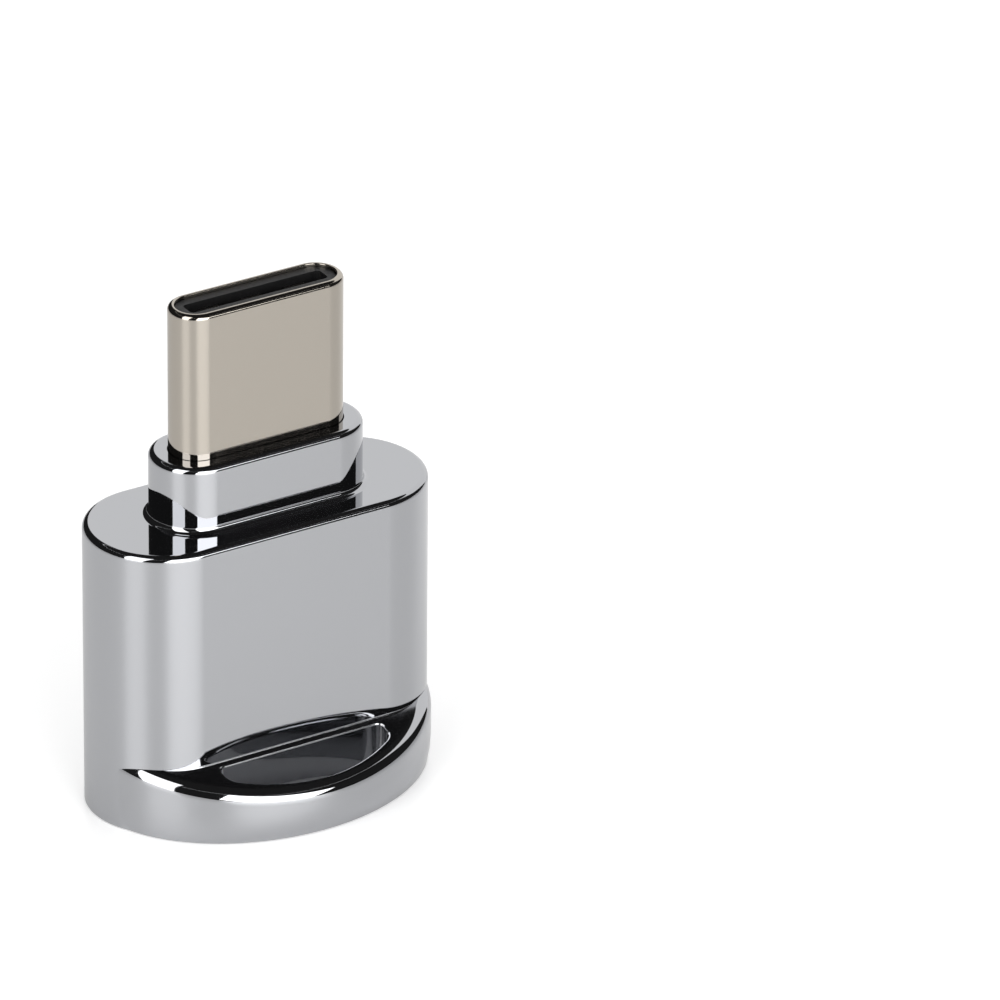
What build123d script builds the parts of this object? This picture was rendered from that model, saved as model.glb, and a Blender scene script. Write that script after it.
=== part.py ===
import os

from build123d import *

# Memory card reader standing on its card slot end, in millimetres
# X runs across the width, -Y is the lip side and +Z is the plug end
# The origin is on the plug axis, in the plane of the slot end

# Housing: body, neck and lip are one zinc casting
body_width = 16.0
body_depth = 6.9
body_height = 13.28
body_top_round = 0.3
end_edge_break = 0.1
housing_wall = 0.42
housing_roof = 1.0
neck_width = 9.95
neck_depth = 3.95
neck_height = 3.02
neck_wall = 0.45
neck_roof = 1.0
neck_top_round = 0.3
neck_foot_round = 0.28

# Lip: half an ellipse in plan, leaning out as it rises, its crowned top falling away from the body
lip_overhang = 2.65
lip_end_inset = 0.2
lip_front_lean = 0.2
lip_end_lean = 0.05
lip_back_height = 3.58
lip_front_height = 2.35
lip_crown = 0.12
lip_rim_round = 0.67
lip_cut_margin = 1.0

# Lanyard hole: flat on the body side, arched on the lip side
hole_end_inset = 4.0
hole_web = 0.25
hole_rim = 0.34
hole_arch_rise = 1.25
hole_arch_round = 0.7
hole_flat_round = 0.25
hole_mouth_round = 0.1

# Plug shell and insulator: the standard sizes of a reversible plug
plug_width = 8.25
plug_depth = 2.4
plug_reach = 6.8
plug_wall = 0.3
plug_tip_round = 0.24
plug_mouth_break = 0.05
plug_grip = 2.9
plug_gap = 0.04
insulator_gap = 0.02
insulator_recess = 0.15
insulator_tail = 0.6
tongue_wall = 0.455
tongue_depth = 4.9
tongue_corner = 0.2

# Plug contacts: strips on both faces of the tongue opening, with places counted in pitches
contact_pitch = 0.5
contact_width = 0.25
contact_sheet = 0.12
contact_gap = 0.03
contact_tip_drop = 0.6
contact_bulge = 0.12
contact_bulge_length = 1.2
contact_foot = 1.3
front_places = [-5.5, -2.5, -1.5, -0.5, 0.5, 2.5, 5.5]
back_places = [-5.5, -2.5, -1.5, 2.5, 5.5]

# Latch plate: steel plate between the contact rows, with a hooked arm on each side
latch_sheet = 0.15
latch_arm_depth = 0.5
latch_arm_length = 3.8
latch_hook = 0.2
latch_hook_length = 0.6
latch_plate_length = 2.4
latch_gap = 0.02

# Ground springs: sheets let into the wide faces of the insulator, fingers through to the tongue
spring_sheet = 0.1
spring_end_inset = 0.25
spring_length = 1.6
spring_tip_drop = 0.4
spring_gap = 0.02
finger_count = 3
finger_width = 1.0
finger_pitch = 2.1
finger_reach = 0.08

# Plug holder: seats the plug in the neck
holder_gap = 0.04
holder_base = 0.9

# Circuit board and the parts soldered to its front face
board_sheet = 0.6
board_start = 0.6
board_top_gap = 0.38
board_gap = 0.03
chip_size = 4.0
chip_thick = 0.8
chip_height = 6.2
lead_count = 6
lead_pitch = 0.5
lead_width = 0.25
lead_length = 0.4
lead_sheet = 0.05
lead_show = 0.08
passive_length = 1.0
passive_width = 0.5
passive_cap = 0.25
capacitor_thick = 0.5
resistor_thick = 0.35
capacitor_places = [(-4.0, 7.6), (-4.0, 6.2), (4.0, 7.6), (4.0, 4.8)]
resistor_places = [(-4.0, 4.8), (4.0, 6.2)]

# End insert: clear block with the card slot, ribs and a skirt with grooves for the board
insert_gap = 0.04
insert_recess = 0.1
insert_face = 1.2
skirt_wall = 0.7
skirt_height = 3.2
groove_depth = 0.35
slot_width = 11.7
slot_height = 1.5
rib_count = 3
rib_width = 0.85
rib_pitch = 3.4
rib_shift = -0.85
rib_height = 2.0

# Card guide: stamped channel over the card, with embossed ribs at its mouth
guide_sheet = 0.15
guide_gap = 0.05
guide_mouth = 0.7
guide_length = 9.0
guide_cut_width = 3.2
guide_cut_depth = 1.3
emboss_count = 3
emboss_pitch = 3.15
emboss_shift = -1.75
emboss_radius = 0.45
emboss_length = 1.5

# Card contacts and the bar that carries them
carrier_width = 10.2
carrier_depth = 1.1
carrier_length = 1.1
carrier_top_gap = 0.2
card_contact_count = 8
card_contact_pitch = 1.1
card_contact_width = 0.5
card_contact_sheet = 0.12
card_contact_foot = 0.5
card_contact_slope = 1.1
card_contact_tip = 0.8
card_contact_rise = 0.5

# Places worked out from the sizes above
half_turn = 180
body_front = -body_depth / 2
lip_reach = body_depth / 2 + lip_overhang
neck_top = body_height + neck_height
plug_tip = neck_top + plug_reach
plug_foot = neck_top - plug_grip
cavity_top = body_height - housing_roof
holder_foot = cavity_top - holder_base
board_top = holder_foot - board_top_gap
mouth_width = plug_width - 2 * plug_wall
mouth_depth = plug_depth - 2 * plug_wall
board_face = board_sheet / 2
tongue_side = board_face + contact_sheet
insulator_width = mouth_width - 2 * insulator_gap
insulator_depth = mouth_depth - 2 * insulator_gap
tongue_width = insulator_width - 2 * tongue_wall
spring_width = tongue_width - 2 * spring_end_inset
insulator_top = plug_tip - insulator_recess
insulator_foot = plug_foot - insulator_tail
tongue_floor = insulator_top - tongue_depth
contact_tip = insulator_top - contact_tip_drop
contact_end = board_top - contact_foot
latch_foot = tongue_floor - latch_plate_length
latch_side = tongue_width / 2 + latch_sheet
spring_top = insulator_top - spring_tip_drop
cavity_width = body_width - 2 * housing_wall
cavity_depth = body_depth - 2 * housing_wall
holder_top = neck_top - neck_roof
pocket_width = neck_width - 2 * neck_wall
pocket_depth = neck_depth - 2 * neck_wall
insert_width = cavity_width - 2 * insert_gap
insert_depth = cavity_depth - 2 * insert_gap
face_back = insert_recess + insert_face
board_width = insert_width - 2 * skirt_wall + 2 * groove_depth
slot_back = board_face + slot_height
guide_width = slot_width - 2 * guide_gap
guide_back = slot_back - guide_gap
guide_end = guide_mouth + guide_length
slot_round = 2 * guide_gap
carrier_top = guide_end - carrier_top_gap
carrier_foot = carrier_top - carrier_length

os.makedirs("parts", exist_ok=True)


def save(piece, name):
    piece.part.label = name
    export_step(piece.part, f"parts/{name}.step")


# Lip, made by itself so that its rim is rounded all the way into the body
with BuildPart() as lip:
    lip_block = lip_back_height + 2 * lip_crown
    for level in (0, lip_block):
        with BuildSketch(Plane.XY.offset(level)):
            with BuildLine():
                half = body_width / 2 - lip_end_inset + level * lip_end_lean
                reach = lip_reach + level * lip_front_lean
                arch = EllipticalCenterArc((0, 0), half, reach, start_angle=half_turn, arc_size=half_turn)
                Line(arch @ 1, arch @ 0)
            make_face()
    loft(ruled=True)
    with BuildSketch(Plane.YZ):
        with BuildLine():
            crown = SagittaArc((0, lip_back_height), (-lip_reach, lip_front_height), -lip_crown)
            back_end = crown @ 0 - lip_cut_margin * (crown % 0)
            front_end = crown @ 1 + lip_cut_margin * (crown % 1)
            over = lip_block + lip_cut_margin
            Polyline(crown @ 1, front_end, (front_end.X, over), (back_end.X, over), back_end, crown @ 0)
        make_face()
    extrude(amount=body_width, both=True, mode=Mode.SUBTRACT)
    fillet(lip.faces().filter_by(GeomType.CYLINDER).edges().sort_by(Axis.Y)[:-1], lip_rim_round)
    chamfer(lip.faces().sort_by(Axis.Z)[0].edges().sort_by(Axis.Y)[:-1], end_edge_break)
    with BuildSketch() as hole:
        with BuildLine():
            flat = body_front - hole_web
            arch_top = hole_rim - lip_reach
            arch_foot = arch_top + hole_arch_rise
            half = body_width / 2 - hole_end_inset
            Polyline((half, arch_foot), (half, flat), (-half, flat), (-half, arch_foot))
            ThreePointArc((half, arch_foot), (0, arch_top), (-half, arch_foot))
        make_face()
        fillet(hole.vertices().group_by(Axis.Y)[-1], hole_flat_round)
        fillet(hole.vertices().group_by(Axis.Y)[0], hole_arch_round)
    extrude(amount=lip_block, mode=Mode.SUBTRACT)
    crown_face = lip.faces().filter_by(GeomType.CYLINDER).sort_by(SortBy.AREA)[-1]
    fillet(crown_face.inner_wires().edges(), hole_mouth_round)

# Housing: the hollow casting, open at the slot end
with BuildPart() as housing:
    with BuildSketch():
        SlotOverall(body_width, body_depth)
    extrude(amount=body_height)
    chamfer(housing.faces().sort_by(Axis.Z)[0].edges(), end_edge_break)
    fillet(housing.faces().sort_by(Axis.Z)[-1].edges(), body_top_round)
    with BuildSketch(Plane.XY.offset(body_height)):
        SlotOverall(neck_width, neck_depth)
    extrude(amount=neck_height)
    fillet(housing.faces().sort_by(Axis.Z)[-1].edges(), neck_top_round)
    shoulder = housing.faces().filter_by(Plane.XY).sort_by(Axis.Z)[1]
    fillet(shoulder.inner_wires().edges(), neck_foot_round)
    add(lip.part)
    with BuildSketch():
        SlotOverall(cavity_width, cavity_depth)
    extrude(amount=cavity_top, mode=Mode.SUBTRACT)
    with BuildSketch(Plane.XY.offset(cavity_top)):
        SlotOverall(pocket_width, pocket_depth)
    extrude(amount=holder_top - cavity_top, mode=Mode.SUBTRACT)
    with BuildSketch(Plane.XY.offset(holder_top)):
        SlotOverall(plug_width + 2 * plug_gap, plug_depth + 2 * plug_gap)
    extrude(amount=neck_roof, mode=Mode.SUBTRACT)
save(housing, "housing")

# Plug shell: drawn steel tube with a rounded tip
with BuildPart() as plug_shell:
    with BuildSketch(Plane.XY.offset(plug_foot)):
        SlotOverall(plug_width, plug_depth)
        SlotOverall(mouth_width, mouth_depth, mode=Mode.SUBTRACT)
    extrude(amount=plug_tip - plug_foot)
    fillet(plug_shell.faces().sort_by(Axis.Z)[-1].outer_wire().edges(), plug_tip_round)
    chamfer(plug_shell.faces().sort_by(Axis.Z)[-1].inner_wires().edges(), plug_mouth_break)
save(plug_shell, "plug_shell")

# Plug insulator: black block with the tongue opening and the seats of the metal pieces
with BuildPart() as plug_insulator:
    with BuildSketch(Plane.XY.offset(insulator_foot)):
        SlotOverall(insulator_width, insulator_depth)
    extrude(amount=insulator_top - insulator_foot)
    with BuildSketch(Plane.XY.offset(tongue_floor)):
        RectangleRounded(tongue_width, 2 * tongue_side, tongue_corner)
    extrude(amount=tongue_depth, mode=Mode.SUBTRACT)
    for side, places in [(-1, front_places), (1, back_places)]:
        with BuildSketch(Plane.XY.offset(insulator_foot)):
            with Locations(*[(place * contact_pitch, side * tongue_side) for place in places]):
                contact_side = Align.MAX if side > 0 else Align.MIN
                Rectangle(
                    contact_width + 2 * contact_gap,
                    contact_sheet + contact_gap,
                    align=(Align.CENTER, contact_side),
                )
        extrude(amount=tongue_floor - insulator_foot, mode=Mode.SUBTRACT)
    with BuildSketch(Plane.XY.offset(latch_foot)):
        Rectangle(2 * (latch_side + latch_gap), latch_sheet + 2 * latch_gap)
    extrude(amount=latch_plate_length, mode=Mode.SUBTRACT)
    with BuildSketch(Plane.XY.offset(tongue_floor - latch_sheet)):
        Rectangle(2 * (latch_side + latch_gap), latch_arm_depth + 2 * latch_gap)
    extrude(amount=latch_arm_length + latch_sheet + latch_gap, mode=Mode.SUBTRACT)
    with BuildSketch(Plane.XY.offset(spring_top - spring_length)):
        with Locations((0, insulator_depth / 2), (0, -insulator_depth / 2)):
            Rectangle(spring_width + 2 * spring_gap, 2 * spring_sheet)
    extrude(amount=spring_length + spring_gap, mode=Mode.SUBTRACT)
    with BuildSketch(Plane.XY.offset(spring_top - spring_sheet - spring_gap)):
        with GridLocations(finger_pitch, 0, finger_count, 1):
            Rectangle(finger_width + 2 * spring_gap, insulator_depth)
    extrude(amount=spring_sheet + 2 * spring_gap, mode=Mode.SUBTRACT)
save(plug_insulator, "plug_insulator")

# Plug contacts: strips that bulge into the tongue opening and end on the board
for name, side, places in [("front_contacts", -1, front_places), ("back_contacts", 1, back_places)]:
    with BuildPart() as contacts:
        starts = [Plane.YZ.offset(place * contact_pitch - contact_width / 2) for place in places]
        with BuildSketch(*starts):
            with BuildLine():
                inner = side * board_face
                outer = side * tongue_side
                bulge_foot = contact_tip - contact_bulge_length
                bulge_top = side * (board_face - contact_bulge)
                bulge_mid = contact_tip - contact_bulge_length / 2
                ThreePointArc((inner, contact_tip), (bulge_top, bulge_mid), (inner, bulge_foot))
                Polyline(
                    (inner, bulge_foot),
                    (inner, contact_end),
                    (outer, contact_end),
                    (outer, contact_tip),
                    (inner, contact_tip),
                )
            make_face()
        extrude(amount=contact_width)
    save(contacts, name)

# Latch plate: flat between the contact rows, arms beside the tongue opening
with BuildPart() as latch_plate:
    with BuildSketch(Plane.XY.offset(latch_foot)):
        Rectangle(2 * latch_side, latch_sheet)
    extrude(amount=latch_plate_length)
    with BuildSketch(Plane.XY.offset(tongue_floor - latch_sheet)):
        with Locations((latch_side - latch_sheet / 2, 0), (latch_sheet / 2 - latch_side, 0)):
            Rectangle(latch_sheet, latch_arm_depth)
    extrude(amount=latch_arm_length + latch_sheet)
    with BuildSketch(Plane.XZ.offset(-latch_arm_depth / 2)):
        hook_top = tongue_floor + latch_arm_length
        for side in (-1, 1):
            root = side * (latch_side - latch_sheet)
            with BuildLine():
                ThreePointArc(
                    (root, hook_top),
                    (root - side * latch_hook, hook_top - latch_hook_length / 2),
                    (root, hook_top - latch_hook_length),
                )
                Line((root, hook_top - latch_hook_length), (root, hook_top))
            make_face()
    extrude(amount=latch_arm_depth)
save(latch_plate, "latch_plate")

# Ground springs: a sheet on each wide face with fingers turned in at its top
for name, side in [("front_ground_spring", -1), ("back_ground_spring", 1)]:
    with BuildPart() as ground_spring:
        sheet_mid = side * (insulator_depth / 2 - spring_sheet / 2)
        with BuildSketch(Plane.XY.offset(spring_top - spring_length)):
            with Locations((0, sheet_mid)):
                Rectangle(spring_width, spring_sheet)
        extrude(amount=spring_length)
        finger_tip = tongue_side - finger_reach
        finger_span = insulator_depth / 2 - finger_tip
        with BuildSketch(Plane.XY.offset(spring_top - spring_sheet)):
            with Locations((0, side * (finger_tip + finger_span / 2))):
                with GridLocations(finger_pitch, 0, finger_count, 1):
                    Rectangle(finger_width, finger_span)
        extrude(amount=spring_sheet)
    save(ground_spring, name)

# Plug holder: fills the neck, with a stepped seat for the shell and the insulator
with BuildPart() as plug_holder:
    with BuildSketch(Plane.XY.offset(holder_foot)):
        SlotOverall(pocket_width - 2 * holder_gap, pocket_depth - 2 * holder_gap)
    extrude(amount=holder_top - holder_foot)
    with BuildSketch(Plane.XY.offset(plug_foot)):
        SlotOverall(plug_width + 2 * plug_gap, plug_depth + 2 * plug_gap)
    extrude(amount=holder_top - plug_foot, mode=Mode.SUBTRACT)
    with BuildSketch(Plane.XY.offset(insulator_foot)):
        SlotOverall(insulator_width + 2 * insulator_gap, insulator_depth + 2 * insulator_gap)
    extrude(amount=insulator_tail, mode=Mode.SUBTRACT)
    with BuildSketch(Plane.XY.offset(holder_foot)):
        Rectangle(tongue_width, 2 * (tongue_side + contact_gap))
        Rectangle(tongue_width, 2 * (board_face - contact_gap), mode=Mode.SUBTRACT)
    extrude(amount=insulator_foot - holder_foot, mode=Mode.SUBTRACT)
save(plug_holder, "plug_holder")

# Circuit board, on edge between the card and the plug
with BuildPart() as circuit_board:
    with BuildSketch(Plane.XY.offset(board_start)):
        Rectangle(board_width, board_sheet)
    extrude(amount=board_top - board_start)
save(circuit_board, "circuit_board")

# Front face of the board, looked at from the lip side
board_front = Plane((0, -board_face, 0), x_dir=(1, 0, 0), z_dir=(0, -1, 0))

# Controller chip: moulded package on flat leads round its edge
with BuildPart() as controller_chip:
    with BuildSketch(board_front.offset(lead_sheet)):
        with Locations((0, chip_height)):
            Rectangle(chip_size, chip_size)
    extrude(amount=chip_thick)
save(controller_chip, "controller_chip")

with BuildPart() as controller_leads:
    with BuildSketch(board_front):
        lead_mid = chip_size / 2 + lead_show - lead_length / 2
        with Locations((0, chip_height)):
            with GridLocations(lead_pitch, 2 * lead_mid, lead_count, 2):
                Rectangle(lead_width, lead_length)
            with GridLocations(2 * lead_mid, lead_pitch, 2, lead_count):
                Rectangle(lead_length, lead_width)
    extrude(amount=lead_sheet)
save(controller_leads, "controller_leads")

# Capacitors and resistors: ceramic blocks between plated end caps
for kind, thick, places in [
    ("capacitor", capacitor_thick, capacitor_places),
    ("resistor", resistor_thick, resistor_places),
]:
    with BuildPart() as ceramic:
        with BuildSketch(board_front):
            with Locations(*places):
                Rectangle(passive_length - 2 * passive_cap, passive_width)
        extrude(amount=thick)
    save(ceramic, f"{kind}_bodies")
    with BuildPart() as end_caps:
        with BuildSketch(board_front):
            with Locations(*places):
                with GridLocations(passive_length - passive_cap, 0, 2, 1):
                    Rectangle(passive_cap, passive_width)
        extrude(amount=thick)
    save(end_caps, f"{kind}_terminals")

# End insert: face plate, skirt, ribs, card slot and the groove for the board
with BuildPart() as end_insert:
    with BuildSketch(Plane.XY.offset(insert_recess)):
        SlotOverall(insert_width, insert_depth)
    extrude(amount=insert_face)
    with BuildSketch(Plane.XY.offset(face_back)):
        SlotOverall(insert_width, insert_depth)
        SlotOverall(insert_width - 2 * skirt_wall, insert_depth - 2 * skirt_wall, mode=Mode.SUBTRACT)
    extrude(amount=skirt_height)
    with BuildSketch(Plane.XY.offset(face_back)):
        rib_span = insert_depth / 2 - skirt_wall / 2
        with Locations((rib_shift, -rib_span / 2)):
            with GridLocations(rib_pitch, 0, rib_count, 1):
                Rectangle(rib_width, rib_span)
    extrude(amount=rib_height)
    with BuildSketch(Plane.XY.offset(insert_recess)):
        with Locations((0, board_face + slot_height / 2)):
            RectangleRounded(slot_width, slot_height, slot_round)
    extrude(amount=insert_face + skirt_height, mode=Mode.SUBTRACT)
    with BuildSketch(Plane.XY.offset(board_start)):
        Rectangle(board_width + 2 * board_gap, board_sheet + 2 * board_gap)
    extrude(amount=board_top - board_start, mode=Mode.SUBTRACT)
save(end_insert, "end_insert")

# Card guide: channel with its open side on the board, cut back at one end of its mouth
with BuildPart() as card_guide:
    with BuildSketch(Plane.XY.offset(guide_mouth)):
        with Locations((0, board_face)):
            Rectangle(guide_width, guide_back - board_face, align=(Align.CENTER, Align.MIN))
            Rectangle(
                guide_width - 2 * guide_sheet,
                guide_back - board_face - guide_sheet,
                align=(Align.CENTER, Align.MIN),
                mode=Mode.SUBTRACT,
            )
    extrude(amount=guide_length)
    with BuildSketch(Plane.XZ.offset(-guide_back)):
        corner = guide_width / 2 - guide_sheet
        with BuildLine():
            Polyline(
                (corner - guide_cut_width, guide_mouth),
                (corner, guide_mouth),
                (corner, guide_mouth + guide_cut_depth),
                close=True,
            )
        make_face()
    extrude(amount=guide_sheet, mode=Mode.SUBTRACT)
    with BuildSketch(Plane.XY.offset(guide_mouth)):
        with Locations((emboss_shift, guide_back)):
            with GridLocations(emboss_pitch, 0, emboss_count, 1):
                Circle(emboss_radius + guide_sheet)
        with Locations((0, guide_back)):
            Rectangle(guide_width, guide_width, align=(Align.CENTER, Align.MIN), mode=Mode.SUBTRACT)
    extrude(amount=emboss_length)
    with BuildSketch(Plane.XY.offset(guide_mouth)):
        with Locations((emboss_shift, guide_back)):
            with GridLocations(emboss_pitch, 0, emboss_count, 1):
                Circle(emboss_radius)
    extrude(amount=emboss_length - guide_sheet, mode=Mode.SUBTRACT)
save(card_guide, "card_guide")

# Card contact carrier: bar across the board that also stops the card
with BuildPart() as card_contact_carrier:
    with BuildSketch(Plane.XY.offset(carrier_foot)):
        with Locations((0, board_face)):
            Rectangle(carrier_width, carrier_depth, align=(Align.CENTER, Align.MIN))
    extrude(amount=carrier_length)
save(card_contact_carrier, "card_contact_carrier")

# Card contacts: springs that stand off the board in front of the carrier
with BuildPart() as card_contacts:
    first = -(card_contact_count - 1) / 2 * card_contact_pitch - card_contact_width / 2
    starts = [Plane.YZ.offset(first + step * card_contact_pitch) for step in range(card_contact_count)]
    with BuildSketch(*starts):
        knee = carrier_foot - card_contact_foot
        peak = knee - card_contact_slope
        tip = peak - card_contact_tip
        raised = board_face + card_contact_rise
        lowered = board_face + card_contact_rise / 2
        with BuildLine():
            Polyline(
                (board_face, carrier_foot),
                (board_face, knee),
                (raised, peak),
                (lowered, tip),
                (lowered + card_contact_sheet, tip),
                (raised + card_contact_sheet, peak),
                (board_face + card_contact_sheet, knee),
                (board_face + card_contact_sheet, carrier_foot),
                close=True,
            )
        make_face()
    extrude(amount=card_contact_width)
save(card_contacts, "card_contacts")
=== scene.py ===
import bpy
import numpy as np
from mathutils import Matrix


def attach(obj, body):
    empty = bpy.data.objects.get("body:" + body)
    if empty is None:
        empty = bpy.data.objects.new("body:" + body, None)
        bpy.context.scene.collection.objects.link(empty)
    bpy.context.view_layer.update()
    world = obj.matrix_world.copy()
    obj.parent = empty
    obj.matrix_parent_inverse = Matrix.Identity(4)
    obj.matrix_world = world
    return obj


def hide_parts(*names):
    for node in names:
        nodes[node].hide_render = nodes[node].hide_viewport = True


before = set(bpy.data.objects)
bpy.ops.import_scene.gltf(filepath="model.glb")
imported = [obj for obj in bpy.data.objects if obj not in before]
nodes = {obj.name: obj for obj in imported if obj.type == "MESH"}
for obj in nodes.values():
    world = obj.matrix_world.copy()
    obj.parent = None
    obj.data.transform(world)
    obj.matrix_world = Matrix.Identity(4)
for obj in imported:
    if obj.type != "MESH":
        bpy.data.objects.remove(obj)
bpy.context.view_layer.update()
print("frame loaded:", len(nodes), "nodes")

mm = 0.001
quarter = np.pi / 2
half = np.pi
weldSize = 2e-4  # mm, corners closer than this are one point


def slerp(a, b, s):
    # great arc from direction a to direction b, s from 0 to 1
    turn = np.arccos(np.clip((a * b).sum(-1, keepdims=True), -1, 1))
    return (np.sin((1 - s) * turn) * a + np.sin(s * turn) * b) / np.sin(turn)


def stadium(columns, width, depth):
    # end centre plus radius times normal, with columns of end side, normal x and normal y
    side, nx, ny = columns
    return side * (width - depth) / 2 + nx * depth / 2, ny * depth / 2


def loops(columns, width, depth, z, tilt):
    # a stack of stadium outlines, each row with its width, depth, height and the lift of its normal
    side, nx, ny = columns
    width, depth, z, tilt = (np.asarray(v, float) for v in (width, depth, z, tilt))
    width, depth, tilt = (v[:, None] for v in (width, depth, tilt))
    z = z[:, None] if z.ndim == 1 else z
    x, y = stadium(columns, width, depth)
    flat = np.ones_like(x)
    place = np.stack([x, y, z * flat], -1)
    normal = np.stack([nx * np.cos(tilt) * flat, ny * np.cos(tilt) * flat, np.sin(tilt) * flat], -1)
    return place, normal


def grid(place, normal, closed=False):
    # quads of a grid with their corner normals, each turned to face along its normals
    if closed:
        place, normal = (np.concatenate([v, v[:, :1]], 1) for v in (place, normal))
    corners, normals = (
        np.stack([v[:-1, :-1], v[:-1, 1:], v[1:, 1:], v[1:, :-1]], 2).reshape(-1, 4, 3) for v in (place, normal)
    )
    face = np.cross(corners[:, 2] - corners[:, 0], corners[:, 3] - corners[:, 1])
    wrong = (face * normals.mean(1)).sum(-1) < 0
    corners[wrong], normals[wrong] = corners[wrong][:, ::-1], normals[wrong][:, ::-1]
    return corners, normals


def crossing(value, along):
    # where each row of value, falling from above zero, first reaches zero
    k = np.clip((value > 0).sum(-1), 1, value.shape[-1] - 1)
    row = np.arange(len(value))
    a, b = value[row, k - 1], value[row, k]
    share = np.clip(a / np.where(a == b, 1, a - b), 0, 1)
    return along[k - 1] + share * (along[k] - along[k - 1])


def piece(name, patches, node):
    # corners that meet become one point, a quad with a doubled corner a triangle, and every corner keeps its normal
    corners = np.concatenate([p[0] for p in patches])
    normals = np.concatenate([p[1] for p in patches])
    places = np.round(corners.reshape(-1, 3) / weldSize).astype(np.int64)
    first, index = np.unique(places, axis=0, return_index=True, return_inverse=True)[1:]
    points = corners.reshape(-1, 3)[first] * mm
    index = index.reshape(-1, 4)
    twin = index == np.roll(index, -1, 1)
    quads = np.flatnonzero(twin.sum(1) == 0)
    tris = np.flatnonzero(twin.sum(1) == 1)
    keep = ~twin[tris]
    faces = index[quads].tolist() + index[tris][keep].reshape(-1, 3).tolist()
    loopNormals = np.concatenate([normals[quads].reshape(-1, 3), normals[tris][keep]])
    mesh = bpy.data.meshes.new(name)
    mesh.from_pydata(points.tolist(), [], faces)
    mesh.polygons.foreach_set("use_smooth", np.ones(len(faces), bool))
    mesh.normals_split_custom_set(loopNormals.tolist())
    made = bpy.data.objects.new(name, mesh)
    bpy.context.scene.collection.objects.link(made)
    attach(made, "root")
    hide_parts(node)
    print(name, "made:", len(points), "points,", len(faces), "faces")
    return made


# housing casting in mm, one surface for body, neck, lip, lanyard hole and the hollows inside
housingShape = dict(
    bodyWidth=16.0, bodyDepth=6.9, bodyHeight=13.28, topRound=0.3, endRound=0.1,
    cavityWidth=15.16, cavityDepth=6.06, cavityTop=12.28,
    neckWidth=9.95, neckDepth=3.95, neckTop=16.3, neckRound=0.3, footRound=0.28,
    pocketWidth=9.05, pocketDepth=3.05, pocketTop=15.3, boreWidth=8.33, boreDepth=2.48,
    lipHalf=7.8, lipReach=6.1, endSwell=0.085, frontSwell=0.334, swellRise=1.85,
    lipBack=3.58, lipFront=2.35, lipCrown=0.12, rimRound=0.67, joinRound=0.13, joinFade=14,
    holeHalf=4.0, holeFlat=-3.7, holeArch=-5.76, archRise=1.25, archRound=0.7, flatRound=0.25, mouthRound=0.14,
    anchorShare=0.35,  # how far round the hole's corner the two ends of the lip's top are tied
    tipColumns=12, seamColumns=8, archColumns=96, cornerColumns=14, frontColumns=44,
    sideColumns=10, backColumns=33, backStraight=8, bendRows=11, wallRows=8, lowRows=4, lipRows=5,
    joinRows=9, crownRows=7, mouthRows=7, holeRows=4, faceRows=4,
    settleStart=1.5, settleShare=0.8, settleSteps=60,  # the rim ball's height in mm, settled in steps
    searchFrom=-0.02, searchTo=-1.1, searchColumns=2161, searchRows=801,  # fine grid that finds the lip's tips
)


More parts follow.
